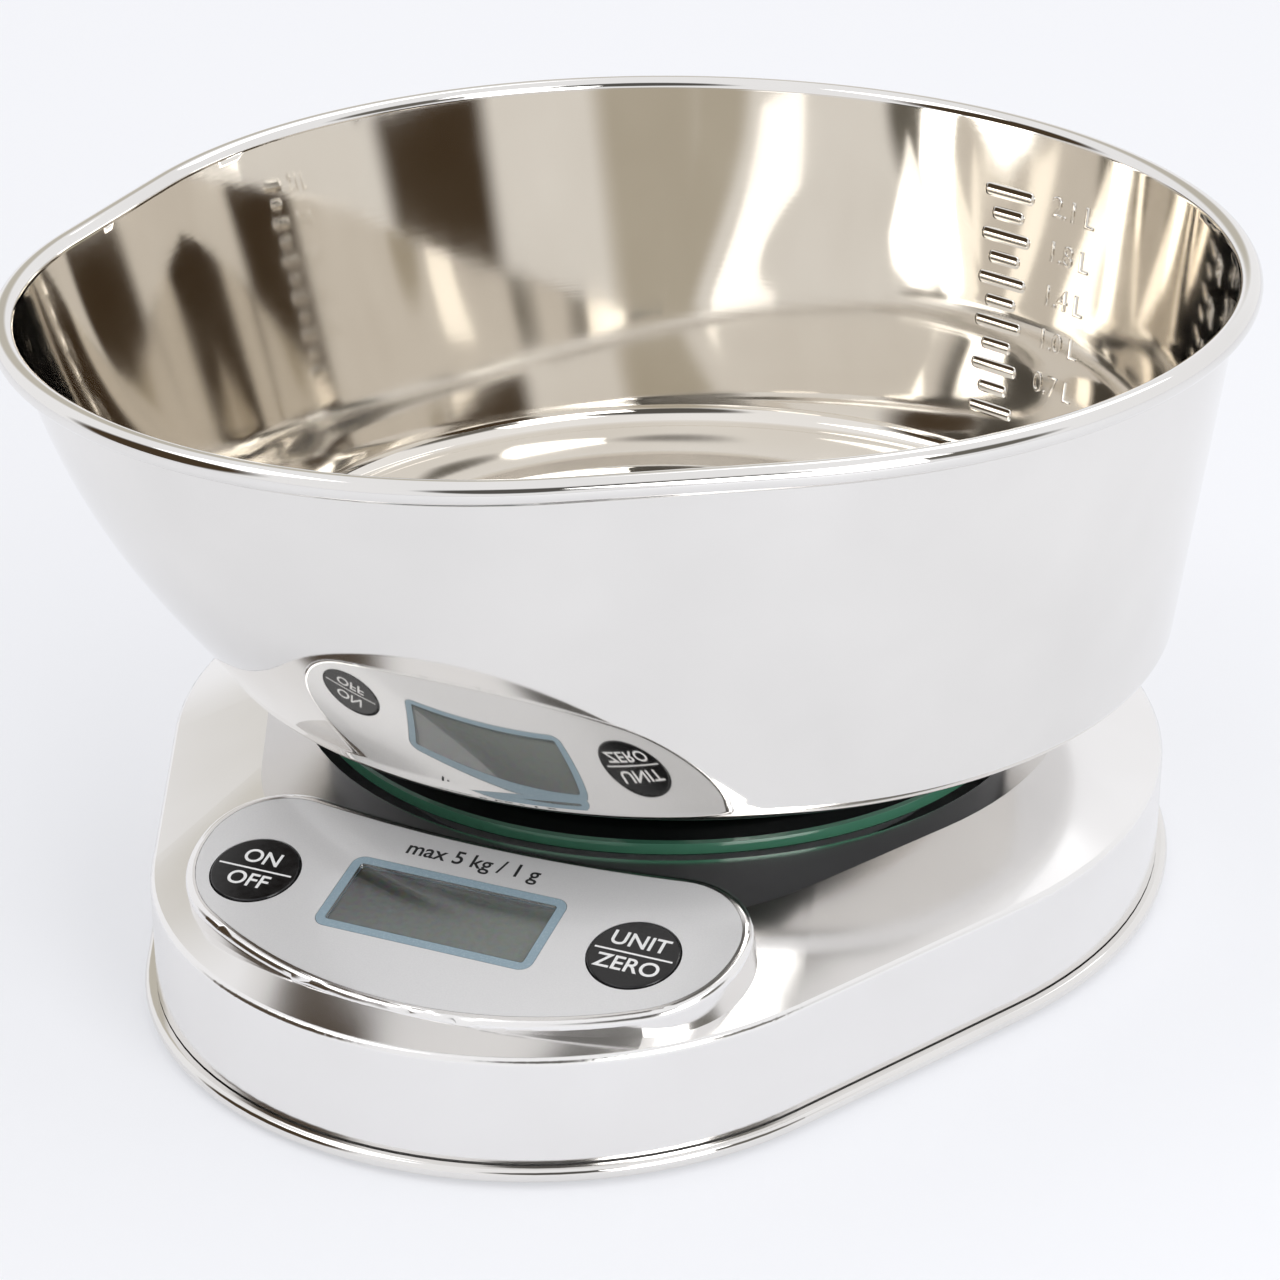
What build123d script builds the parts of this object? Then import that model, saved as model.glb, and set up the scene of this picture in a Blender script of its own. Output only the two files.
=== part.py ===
import os
from math import acos, atan, cos, degrees, radians, sin, sqrt
from build123d import *

os.makedirs("parts", exist_ok=True)

# housing outline: large circle at the back, smaller one in front, joined by tangents
back_radius = 102.4
front_radius = 74.8
front_reach = 63.1

# foot bead, skirt, shoulder and plateau of the housing
foot_height = 1.6
bead_low = 1.0
bead_tall = 2.8
bead_reach = 2.3
bead_inner = 4.0
groove = 0.3
skirt_tall = 21.2
skirt_round = 1.4
shoulder_inset = 20.4
shoulder_rise = 8.7
plateau_back = 25.1
skin = 1.0
collar_drop = 7.0

# control pod: bean-shaped outline on a sloping plane
pod_ahead = 41.8
pod_lift = 0.5
pod_slope = 14.1
pod_x = 2.0
pod_half = 56.0
pod_front = 25.6
pod_back = 20.5
pod_back_bow = 5.0
pod_front_bow = 91.5
pod_corner_front = 23.0
pod_corner_back = 16.0
pod_depth = 14.0
pod_round = 1.5
bezel = 2.0
ledge = 1.4
ledge_thick = 1.0

# control panel, display and buttons
panel_thick = 1.6
frame_long = 44.0
frame_wide = 19.2
frame_border = 1.8
frame_corner = 2.4
window_thick = 1.2
lcd_long = 42.0
lcd_wide = 17.6
lcd_thick = 2.2
button_x = 38.7
button_radius = 8.5
button_proud = 0.3
flange_reach = 0.5
flange_thick = 1.0
stem_radius = 2.0
board_depth = 9.5
board_long = 86.0
board_wide = 32.0
board_thick = 1.6
post_x = 27.0
post_y = 12.6
post_radius = 2.2
switch_side = 6.0
switch_tall = 2.6
plunger_radius = 1.75
plunger_tall = 0.4
strip_wide = 2.4
press = 0.3

# clearances between fixed pieces and between moving ones
fit = 0.1
loose = 0.3

# moulded frame and base plate
frame_wall = 1.8
plate_thick = 2.0
rim_wall = 1.6
rim_tall = 5.0
rib_wide = 1.6
rib_tall = 3.0
boss_radius = 4.0
boss_inset = 10.5
boss_back_turn = 40.0
boss_front_turn = 10.0
foot_radius = 7.0
foot_sink = 0.8
foot_inset = 17.0
foot_back_turn = 62.0
foot_front_turn = 45.0

# screws: shank and head sizes
screw_radius = 1.5
screw_head = 2.8
screw_head_tall = 1.2
screw_long = 11.0
cell_screw_radius = 2.0
cell_screw_head = 3.6
cell_screw_head_tall = 2.2
board_screw_radius = 0.9
board_screw_head = 1.7
board_screw_head_tall = 1.2
board_screw_long = 5.0

# load cell bar and the parts it carries
cell_long = 80.0
cell_side = 12.7
cell_bore = 4.6
cell_bore_apart = 11.0
cell_hole_in = 6.0
cell_hole_apart = 14.0
cell_screw_bite = 7.0
seat_rise = 3.5
spacer_thick = 1.5
spacer_long = 25.0
stop_gap = 0.9
stop_radius = 3.5
hub_tall = 6.6
carrier_radius = 64.0
carrier_thick = 2.8
carrier_rim = 2.2
carrier_rib_tall = 3.6
pad_radius = 9.0
pad_thick = 1.2
pad_turn_radius = 50.0
glass_radius = 73.2
glass_thick = 3.2
glass_edge = 0.5
platform_gap = 2.6

# battery compartment
battery_y = 42.0
cell_radius = 5.25
battery_long = 44.5
tip_radius = 1.9
tip_long = 0.8
battery_apart = 11.6
well_end = 4.6
well_side = 0.7
well_wall = 1.6
well_head = 0.5
door_thick = 1.6
door_rest = 0.4
contact_thick = 0.4
contact_wide = 8.0
leaf_half = 3.2
leaf_tall = 4.0
door_grip_radius = 6.0
door_grip_deep = 0.7

# bowl: egg-shaped rim whose lip flares out of a round bottom set back from it
bowl_radius = 112.9
lip_pinch = 21.4
lip_reach = 43.6
lip_turn = 242.7
bowl_taper = 15.2
bottom_back = 6.7
bottom_lip_reach = 0.6
flare_low = 4.8
flare_hold = 4.0
bowl_tall = 76.7
bowl_round = 10.0
bowl_levels = 10
sheet = 0.8
curl_radius = 2.3
curl_slit_turn = 232.0
curl_slit = 0.9
floor_step = 1.5
floor_margin = 10.0
bowl_base_tall = 14.1
bowl_base_draft = 5.5
bowl_base_wall = 11.0
bowl_base_web = 3.0
bowl_base_round = 2.0
lift_gap = 0.3

# raised marks inside the bowl
mark_turn = 70.5
mark_count = 11
mark_low = 13.5
mark_pitch = 4.9
mark_long = 12.0
mark_short = 7.5
mark_tall = 1.1
mark_proud = 0.35

# levels that follow from the sizes above
bead_top = bead_low + bead_tall
skirt_low = bead_top + groove
shoulder_low = skirt_low + skirt_tall
plateau = shoulder_low + shoulder_rise
plate_top = foot_height + plate_thick
hole_radius = glass_radius + platform_gap
shoulder_drop = skin / cos(atan(shoulder_rise / shoulder_inset))
seat_top = plate_top + seat_rise
cell_low = seat_top + spacer_thick
cell_top = cell_low + cell_side
hub_low = cell_top + spacer_thick
carrier_low = hub_low + hub_tall
carrier_top = carrier_low + carrier_thick
glass_low = carrier_top + pad_thick
glass_top = glass_low + glass_thick
bowl_base_low = glass_top + lift_gap
bowl_low = bowl_base_low + bowl_base_tall
rim_level = bowl_low + bowl_tall
curl_neck = curl_radius - sheet - fit / 2
lip_radius = bowl_radius - lip_pinch
bottom_radius = bowl_radius - bowl_taper
floor_radius = bottom_radius - bottom_back - bowl_round - floor_margin
bowl_base_radius = floor_radius - loose
pod_y = -front_reach - pod_ahead

# the scale is handed over with its origin under the middle of its bounding box
home = Location((0, (front_reach + front_radius + bead_reach - bowl_radius - curl_radius) / 2, 0))
low = (Align.CENTER, Align.CENTER, Align.MIN)
high = (Align.CENTER, Align.CENTER, Align.MAX)


# egg outline: back circle on the axis, nose circle set off in one direction
def egg(big, small, reach, turn):
    lean = degrees(acos((big - small) / reach))
    far = (reach * cos(radians(turn)), reach * sin(radians(turn)))
    with BuildSketch() as shape:
        with BuildLine():
            back = CenterArc((0, 0), big, turn + lean, 360 - 2 * lean)
            nose = CenterArc(far, small, turn - lean, 2 * lean)
            Line(back @ 1, nose @ 0)
            Line(nose @ 1, back @ 0)
        make_face()
    return shape.sketch


def base_egg(inset):
    return egg(back_radius - inset, front_radius - inset, front_reach, -90)


# outline of the plateau: its sides run parallel to the skirt, its nose stops further back
def plateau_egg(inset):
    big = back_radius - shoulder_inset
    reach = front_reach - plateau_back
    small = big - reach * (back_radius - front_radius) / front_reach
    return egg(big - inset, small - inset, reach, -90)


def rim_egg(inset):
    return egg(bowl_radius - inset, lip_radius - inset, lip_reach, lip_turn)


# bean outline of the pod, drawn in its own sloping plane, set in by a margin
def pod_face(inset):
    half = pod_half - inset
    front_bow = pod_front_bow - inset
    back_bow = (pod_half ** 2 + pod_back_bow ** 2) / (2 * pod_back_bow) + inset
    front = pod_front - inset
    back = pod_back - inset
    side = front_bow - front - sqrt(front_bow ** 2 - half ** 2)
    top = back + back_bow - sqrt(back_bow ** 2 - half ** 2)
    with BuildSketch() as shape:
        with BuildLine():
            ThreePointArc((-half, side), (0, -front), (half, side))
            Line((half, side), (half, top))
            ThreePointArc((half, top), (0, back), (-half, top))
            Line((-half, top), (-half, side))
        make_face()
        corners = shape.vertices().sort_by(Axis.Y)
        fillet(corners[:2], pod_corner_front - inset)
        corners = shape.vertices().sort_by(Axis.Y)
        fillet(corners[-2:], pod_corner_back - inset)
    return shape.sketch.moved(Location((pod_x, 0, 0)))


# sloping plane of the control panel face
slope = radians(pod_slope)
pod_top = Plane(origin=(0, pod_y, plateau + pod_lift), x_dir=(1, 0, 0), z_dir=(0, -sin(slope), cos(slope)))

# points where screws, feet and pads sit
back_ring = back_radius - boss_inset
front_ring = front_radius - boss_inset
boss_points = []
for turn in (boss_back_turn, 180 - boss_back_turn):
    boss_points.append((back_ring * cos(radians(turn)), back_ring * sin(radians(turn))))
for turn in (-boss_front_turn, 180 + boss_front_turn, -90):
    boss_points.append((front_ring * cos(radians(turn)), front_ring * sin(radians(turn)) - front_reach))
foot_points = []
for turn in (foot_back_turn, 180 - foot_back_turn):
    reach = back_radius - foot_inset
    foot_points.append((reach * cos(radians(turn)), reach * sin(radians(turn))))
for turn in (-foot_front_turn, 180 + foot_front_turn):
    reach = front_radius - foot_inset
    foot_points.append((reach * cos(radians(turn)), reach * sin(radians(turn)) - front_reach))
pad_points = []
for turn in (45, 135, 225, 315):
    pad_points.append((pad_turn_radius * cos(radians(turn)), pad_turn_radius * sin(radians(turn))))
fixed_points = []
loaded_points = []
for step in (0, 1):
    hole = cell_long / 2 - cell_hole_in - step * cell_hole_apart
    fixed_points.append((-hole, 0))
    loaded_points.append((hole, 0))

# space inside the pressed steel skin
with BuildPart() as skin_space:
    with BuildSketch(Plane.XY.offset(skirt_low)):
        add(base_egg(skin))
    extrude(amount=skirt_tall - shoulder_drop)
    with BuildSketch(Plane.XY.offset(shoulder_low - shoulder_drop)):
        add(base_egg(skin))
    with BuildSketch(Plane.XY.offset(plateau - shoulder_drop)):
        add(plateau_egg(skin))
    loft(ruled=True)

# raised pod with its rounded bezel edge
with BuildPart() as pod_block:
    with BuildSketch(pod_top):
        add(pod_face(0))
    extrude(amount=-pod_depth)
    fillet(pod_block.faces().sort_by(Axis.Z)[-1].edges(), pod_round)

with BuildPart() as pod_space:
    with BuildSketch(pod_top.offset(-panel_thick - ledge_thick)):
        add(pod_face(skin))
    extrude(amount=-pod_depth)
    with BuildSketch(pod_top):
        add(pod_face(bezel))
    extrude(amount=-panel_thick)
    with BuildSketch(pod_top):
        add(pod_face(bezel + ledge))
    extrude(amount=-pod_depth)

# steel skin: skirt, shoulder, plateau, pod and turned-down collar
with BuildPart() as housing_skin:
    with BuildSketch(Plane.XY.offset(skirt_low)):
        add(base_egg(0))
    extrude(amount=skirt_tall)
    with BuildSketch(Plane.XY.offset(shoulder_low)):
        add(base_egg(0))
    with BuildSketch(Plane.XY.offset(plateau)):
        add(plateau_egg(0))
    loft(ruled=True)
    brow = housing_skin.edges().filter_by(lambda e: abs(e.center().Z - shoulder_low) < fit)
    fillet(brow.filter_by(lambda e: abs((e @ 0).Z - (e @ 1).Z) < fit), skirt_round)
    add(pod_block.part)
    add(skin_space.part, mode=Mode.SUBTRACT)
    add(pod_space.part, mode=Mode.SUBTRACT)
    with Locations((0, 0, plateau)):
        Cylinder(hole_radius + skin, collar_drop, align=high)
    with Locations((0, 0, plateau)):
        Cylinder(hole_radius, collar_drop, align=high, mode=Mode.SUBTRACT)
housing_skin.part.label = "housing_skin"
export_step(housing_skin.part.moved(home), "parts/housing_skin.step")

# polished bead round the foot of the skirt
with BuildPart() as foot_bead:
    with BuildSketch(Plane.XY.offset(bead_low)):
        add(base_egg(-bead_reach))
        add(base_egg(bead_inner), mode=Mode.SUBTRACT)
    extrude(amount=bead_tall)
    loops = foot_bead.faces().filter_by(Axis.Z)
    fillet([edge for face in loops for edge in face.outer_wire().edges()], bead_tall / 2 - fit)
foot_bead.part.label = "foot_bead"
export_step(foot_bead.part.moved(home), "parts/foot_bead.step")

# moulded frame that backs the skin and carries the screw bosses
frame_drop = shoulder_drop + fit
with BuildPart() as frame_outer:
    with BuildSketch(Plane.XY.offset(bead_top)):
        add(base_egg(skin + fit))
    extrude(amount=shoulder_low - frame_drop - bead_top)
    with BuildSketch(Plane.XY.offset(shoulder_low - frame_drop)):
        add(base_egg(skin + fit))
    with BuildSketch(Plane.XY.offset(plateau - frame_drop)):
        add(plateau_egg(skin + fit))
    loft(ruled=True)

with BuildPart() as frame_space:
    with BuildSketch(Plane.XY.offset(bead_top)):
        add(base_egg(skin + fit + frame_wall))
    extrude(amount=shoulder_low - frame_drop - frame_wall - bead_top)
    with BuildSketch(Plane.XY.offset(shoulder_low - frame_drop - frame_wall)):
        add(base_egg(skin + fit + frame_wall))
    with BuildSketch(Plane.XY.offset(plateau - frame_drop - frame_wall)):
        add(plateau_egg(skin + fit + frame_wall))
    loft(ruled=True)

with BuildPart() as frame_bosses:
    with Locations(*[(x, y, plate_top) for x, y in boss_points]):
        Cylinder(boss_radius, plateau, align=low)
    with Locations((0, -front_reach - front_radius, plate_top + rim_tall + loose)):
        Box(rib_wide, boss_inset * 2, plateau, align=low)
    for x, y in boss_points[:4]:
        with Locations(Location((x, y, plate_top + rim_tall + loose), (0, 0, degrees(atan(y / x))))):
            Box(boss_inset * 2, rib_wide, plateau, align=low)
    add(frame_outer.part, mode=Mode.INTERSECT)

with BuildPart() as inner_frame:
    add(frame_outer.part)
    add(frame_space.part, mode=Mode.SUBTRACT)
    add(frame_bosses.part)
    with Locations((0, 0, plate_top)):
        Cylinder(hole_radius + skin + loose, plateau, align=low, mode=Mode.SUBTRACT)
    with BuildSketch(pod_top.offset(pod_depth)):
        add(pod_face(-loose))
    extrude(amount=-pod_depth * 2 + skin, mode=Mode.SUBTRACT)
    with Locations(*[(x, y, bead_top) for x, y in boss_points]):
        Cylinder(screw_radius + fit, screw_long, align=low, mode=Mode.SUBTRACT)
inner_frame.part.label = "inner_frame"
export_step(inner_frame.part.moved(home), "parts/inner_frame.step")

# sizes of the battery well
well_long = battery_long + 2 * well_end
well_wide = battery_apart + 2 * cell_radius + 2 * well_side
battery_z = foot_height + door_thick + door_rest + cell_radius
well_top = battery_z + cell_radius + well_head
door_long = well_long - 2 * loose
door_wide = well_wide - 2 * loose

# base plate with rim, ribs, load cell seat, overload stop and battery well
with BuildPart() as base_plate:
    with BuildSketch(Plane.XY.offset(foot_height)):
        add(base_egg(bead_inner + fit))
    extrude(amount=plate_thick)
    with BuildSketch(Plane.XY.offset(plate_top)):
        add(base_egg(bead_inner + fit))
        add(base_egg(bead_inner + fit + rim_wall), mode=Mode.SUBTRACT)
    extrude(amount=rim_tall)
    with Locations((0, -front_reach, plate_top), (0, 0, plate_top)):
        Box(2 * front_radius - 4 * boss_inset, rib_wide, rib_tall, align=low)
    for side in (-1, 1):
        with Locations((side * foot_radius * 3, -front_reach / 2, plate_top)):
            Box(rib_wide, front_reach + boss_inset, rib_tall, align=low)
    with Locations((-cell_long / 2 + spacer_long / 2, 0, plate_top)):
        Box(spacer_long, cell_side * 2, seat_rise, align=low)
    with Locations((cell_long / 2 - cell_hole_in, 0, plate_top)):
        Cylinder(stop_radius, cell_low - plate_top - stop_gap, align=low)
    with Locations((0, battery_y, plate_top)):
        Box(well_long + 2 * well_wall, well_wide + 2 * well_wall, well_top - plate_top + well_wall, align=low)
    with Locations((0, battery_y, foot_height)):
        Box(well_long, well_wide, well_top - foot_height, align=low, mode=Mode.SUBTRACT)
    with Locations(*[(x, y, foot_height) for x, y in foot_points]):
        Cylinder(foot_radius + fit, foot_sink, align=low, mode=Mode.SUBTRACT)
    with Locations(*[(x, y, foot_height) for x, y in boss_points]):
        Cylinder(screw_radius + fit, plate_thick, align=low, mode=Mode.SUBTRACT)
        Cylinder(screw_head + fit, screw_head_tall, align=low, mode=Mode.SUBTRACT)
    with Locations(*[(x, y, foot_height) for x, y in fixed_points]):
        Cylinder(cell_screw_radius + fit, seat_top - foot_height, align=low, mode=Mode.SUBTRACT)
        Cylinder(cell_screw_head + fit, cell_screw_head_tall, align=low, mode=Mode.SUBTRACT)
base_plate.part.label = "base_plate"
export_step(base_plate.part.moved(home), "parts/base_plate.step")

# four rubber feet share one node
with BuildPart() as rubber_feet:
    with Locations(*[(x, y, 0) for x, y in foot_points]):
        Cylinder(foot_radius, foot_height + foot_sink, align=low)
    fillet(rubber_feet.faces().group_by(Axis.Z)[0].edges(), foot_sink / 2)
rubber_feet.part.label = "rubber_feet"
export_step(rubber_feet.part.moved(home), "parts/rubber_feet.step")

# screws from below into the frame bosses
with BuildPart() as housing_screws:
    with Locations(*[(x, y, foot_height) for x, y in boss_points]):
        Cylinder(screw_head, screw_head_tall, align=low)
        Cylinder(screw_radius, screw_long, align=low)
        Box(screw_head, screw_head / 4, screw_head_tall / 2, align=low, mode=Mode.SUBTRACT)
housing_screws.part.label = "housing_screws"
export_step(housing_screws.part.moved(home), "parts/housing_screws.step")

# aluminium load cell with its twin bending bores
with BuildPart() as load_cell:
    with Locations((0, 0, cell_low)):
        Box(cell_long, cell_side, cell_side, align=low)
    with BuildSketch(Plane.XZ.offset(-cell_side)):
        with Locations((0, cell_low + cell_side / 2)):
            with Locations((-cell_bore_apart / 2, 0), (cell_bore_apart / 2, 0)):
                Circle(cell_bore)
            Rectangle(cell_bore_apart, cell_bore)
    extrude(amount=2 * cell_side, mode=Mode.SUBTRACT)
    with Locations(*[(x, y, cell_low) for x, y in fixed_points]):
        Cylinder(cell_screw_radius + fit, cell_side, align=low, mode=Mode.SUBTRACT)
    with Locations(*[(x, y, cell_low) for x, y in loaded_points]):
        Cylinder(cell_screw_radius + fit, cell_side, align=low, mode=Mode.SUBTRACT)
    chamfer(load_cell.edges().filter_by(Axis.X), fit * 4)
load_cell.part.label = "load_cell"
export_step(load_cell.part.moved(home), "parts/load_cell.step")

# spacer plates above and below the ends of the load cell
with BuildPart() as fixed_spacer:
    with Locations((-cell_long / 2 + spacer_long / 2, 0, seat_top)):
        Box(spacer_long, cell_side, spacer_thick, align=low)
    with Locations(*[(x, y, seat_top) for x, y in fixed_points]):
        Cylinder(cell_screw_radius + fit, spacer_thick, align=low, mode=Mode.SUBTRACT)
fixed_spacer.part.label = "fixed_spacer"
export_step(fixed_spacer.part.moved(home), "parts/fixed_spacer.step")

with BuildPart() as loaded_spacer:
    with Locations((cell_long / 2 - spacer_long / 2, 0, cell_top)):
        Box(spacer_long, cell_side, spacer_thick, align=low)
    with Locations(*[(x, y, cell_top) for x, y in loaded_points]):
        Cylinder(cell_screw_radius + fit, spacer_thick, align=low, mode=Mode.SUBTRACT)
loaded_spacer.part.label = "loaded_spacer"
export_step(loaded_spacer.part.moved(home), "parts/loaded_spacer.step")

# screws that hold the fixed end of the load cell
with BuildPart() as cell_screws:
    with Locations(*[(x, y, foot_height) for x, y in fixed_points]):
        Cylinder(cell_screw_head, cell_screw_head_tall, align=low)
        Cylinder(cell_screw_radius, cell_low + cell_screw_bite - foot_height, align=low)
        Box(cell_screw_head, cell_screw_head / 4, cell_screw_head_tall / 2, align=low, mode=Mode.SUBTRACT)
cell_screws.part.label = "cell_screws"
export_step(cell_screws.part.moved(home), "parts/cell_screws.step")

# ribbed carrier under the glass, with a hub over the loaded end of the cell
with BuildPart() as platform_carrier:
    with Locations((0, 0, carrier_low)):
        Cylinder(carrier_radius, carrier_thick, align=low)
    with BuildSketch(Plane.XY.offset(carrier_low - carrier_rib_tall)):
        Circle(carrier_radius)
        Circle(carrier_radius - carrier_rim, mode=Mode.SUBTRACT)
        Rectangle(2 * carrier_radius - carrier_rim, rib_wide)
        Rectangle(rib_wide, 2 * carrier_radius - carrier_rim)
        with Locations(Location((0, 0, 0), (0, 0, 45)), Location((0, 0, 0), (0, 0, -45))):
            Rectangle(2 * carrier_radius - carrier_rim, rib_wide)
        Circle(carrier_radius / 2 + rib_wide)
        Circle(carrier_radius / 2, mode=Mode.SUBTRACT)
        Rectangle(2 * carrier_radius - carrier_rim, rib_wide)
        Rectangle(rib_wide, 2 * carrier_radius - carrier_rim)
    extrude(amount=carrier_rib_tall)
    with Locations((cell_long / 2 - spacer_long / 2, 0, hub_low)):
        Box(spacer_long, cell_side, hub_tall, align=low)
    with Locations(*[(x, y, hub_low) for x, y in loaded_points]):
        Cylinder(cell_screw_radius + fit, hub_tall + carrier_thick, align=low, mode=Mode.SUBTRACT)
    with Locations(*[(x, y, carrier_top) for x, y in loaded_points]):
        Cylinder(cell_screw_head + fit, cell_screw_head_tall, align=high, mode=Mode.SUBTRACT)
platform_carrier.part.label = "platform_carrier"
export_step(platform_carrier.part.moved(home), "parts/platform_carrier.step")

# screws from the carrier into the loaded end
with BuildPart() as carrier_screws:
    with Locations(*[(x, y, carrier_top) for x, y in loaded_points]):
        Cylinder(cell_screw_head, cell_screw_head_tall, align=high)
        Cylinder(cell_screw_radius, carrier_top - cell_top + cell_screw_bite, align=high)
        Box(cell_screw_head, cell_screw_head / 4, cell_screw_head_tall / 2, align=high, mode=Mode.SUBTRACT)
carrier_screws.part.label = "carrier_screws"
export_step(carrier_screws.part.moved(home), "parts/carrier_screws.step")

# adhesive pads between carrier and glass
with BuildPart() as glass_pads:
    with Locations(*[(x, y, carrier_top) for x, y in pad_points]):
        Cylinder(pad_radius, pad_thick, align=low)
glass_pads.part.label = "glass_pads"
export_step(glass_pads.part.moved(home), "parts/glass_pads.step")

# round glass platform
with BuildPart() as platform_glass:
    with Locations((0, 0, glass_low)):
        Cylinder(glass_radius, glass_thick, align=low)
    chamfer(platform_glass.edges(), glass_edge)
platform_glass.part.label = "platform_glass"
export_step(platform_glass.part.moved(home), "parts/platform_glass.step")

# printed control panel with display opening, button holes and board posts
with BuildPart() as control_panel:
    with BuildSketch(pod_top):
        add(pod_face(bezel + fit))
        RectangleRounded(frame_long + 2 * fit, frame_wide + 2 * fit, frame_corner + fit, mode=Mode.SUBTRACT)
        with Locations((-button_x, 0), (button_x, 0)):
            Circle(button_radius + loose, mode=Mode.SUBTRACT)
    extrude(amount=-panel_thick)
    with BuildSketch(pod_top.offset(-panel_thick)):
        with GridLocations(2 * post_x, 2 * post_y, 2, 2):
            Circle(post_radius)
    extrude(amount=panel_thick - board_depth)
    with BuildSketch(pod_top.offset(-board_depth)):
        with GridLocations(2 * post_x, 2 * post_y, 2, 2):
            Circle(board_screw_radius + fit)
    extrude(amount=board_screw_long, mode=Mode.SUBTRACT)
control_panel.part.label = "control_panel"
export_step(control_panel.part.moved(home), "parts/control_panel.step")

# coloured frame round the display window
view_long = frame_long - 2 * frame_border
view_wide = frame_wide - 2 * frame_border
with BuildPart() as lcd_frame:
    with BuildSketch(pod_top):
        RectangleRounded(frame_long, frame_wide, frame_corner)
        RectangleRounded(view_long, view_wide, frame_corner - frame_border, mode=Mode.SUBTRACT)
    extrude(amount=-panel_thick)
lcd_frame.part.label = "lcd_frame"
export_step(lcd_frame.part.moved(home), "parts/lcd_frame.step")

with BuildPart() as lcd_window:
    with BuildSketch(pod_top):
        RectangleRounded(view_long - fit, view_wide - fit, frame_corner - frame_border)
    extrude(amount=-window_thick)
lcd_window.part.label = "lcd_window"
export_step(lcd_window.part.moved(home), "parts/lcd_window.step")

# liquid crystal cell under the window
with BuildPart() as lcd_cell:
    with BuildSketch(pod_top.offset(-panel_thick)):
        Rectangle(lcd_long, lcd_wide)
    extrude(amount=-lcd_thick / 2)
    with BuildSketch(pod_top.offset(-panel_thick - lcd_thick / 2)):
        Rectangle(lcd_long, lcd_wide - strip_wide * 2)
    extrude(amount=-lcd_thick / 2)
lcd_cell.part.label = "lcd_cell"
export_step(lcd_cell.part.moved(home), "parts/lcd_cell.step")

# rubber strip that joins the display contacts to the board
strip_top = panel_thick + lcd_thick / 2
with BuildPart() as contact_strip:
    with BuildSketch(pod_top.offset(-strip_top)):
        with Locations((0, lcd_wide / 2 - strip_wide / 2)):
            Rectangle(lcd_long - strip_wide, strip_wide - 2 * fit)
    extrude(amount=strip_top - board_depth)
contact_strip.part.label = "contact_strip"
export_step(contact_strip.part.moved(home), "parts/contact_strip.step")

# circuit board parallel to the panel
with BuildPart() as circuit_board:
    with BuildSketch(pod_top.offset(-board_depth)):
        Rectangle(board_long, board_wide)
        with GridLocations(2 * post_x, 2 * post_y, 2, 2):
            Circle(board_screw_radius + fit, mode=Mode.SUBTRACT)
    extrude(amount=-board_thick)
circuit_board.part.label = "circuit_board"
export_step(circuit_board.part.moved(home), "parts/circuit_board.step")

# push switches on the board, one under each button
with BuildPart() as push_switches:
    with BuildSketch(pod_top.offset(-board_depth)):
        with Locations((-button_x, 0), (button_x, 0)):
            Rectangle(switch_side, switch_side)
    extrude(amount=switch_tall)
    with BuildSketch(pod_top.offset(-board_depth + switch_tall)):
        with Locations((-button_x, 0), (button_x, 0)):
            Circle(plunger_radius)
    extrude(amount=plunger_tall)
push_switches.part.label = "push_switches"
export_step(push_switches.part.moved(home), "parts/push_switches.step")

# screws that hold the board to the panel posts
with BuildPart() as board_screws:
    with BuildSketch(pod_top.offset(-board_depth - board_thick)):
        with GridLocations(2 * post_x, 2 * post_y, 2, 2):
            Circle(board_screw_head)
    extrude(amount=-board_screw_head_tall)
    with BuildSketch(pod_top.offset(-board_depth - board_thick)):
        with GridLocations(2 * post_x, 2 * post_y, 2, 2):
            Circle(board_screw_radius)
    extrude(amount=board_screw_long)
board_screws.part.label = "board_screws"
export_step(board_screws.part.moved(home), "parts/board_screws.step")

# two push buttons: domed cap, retaining flange and stem
stem_end = board_depth - switch_tall - plunger_tall - press - loose
flange_top = panel_thick + loose
with BuildPart() as left_button:
    with BuildSketch(pod_top.offset(-flange_top)):
        with Locations((-button_x, 0)):
            Circle(button_radius)
    extrude(amount=flange_top + button_proud)
    fillet(left_button.faces().sort_by(Axis.Z)[-1].edges(), button_proud)
    with BuildSketch(pod_top.offset(-flange_top)):
        with Locations((-button_x, 0)):
            Circle(button_radius + flange_reach)
    extrude(amount=-flange_thick)
    with BuildSketch(pod_top.offset(-flange_top - flange_thick)):
        with Locations((-button_x, 0)):
            Circle(stem_radius)
    extrude(amount=flange_top + flange_thick - stem_end)
left_button.part.label = "left_button"
export_step(left_button.part.moved(home), "parts/left_button.step")

with BuildPart() as right_button:
    add(left_button.part.mirror(Plane.YZ))
right_button.part.label = "right_button"
export_step(right_button.part.moved(home), "parts/right_button.step")

# two cells side by side, facing opposite ways
with BuildPart() as batteries:
    for side in (-1, 1):
        with Locations((0, battery_y + side * battery_apart / 2, battery_z)):
            Cylinder(cell_radius, battery_long - tip_long, rotation=(0, 90, 0))
        with Locations((side * (battery_long - tip_long) / 2, battery_y + side * battery_apart / 2, battery_z)):
            Cylinder(tip_radius, 2 * tip_long, rotation=(0, 90, 0))
batteries.part.label = "batteries"
export_step(batteries.part.moved(home), "parts/batteries.step")

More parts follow.
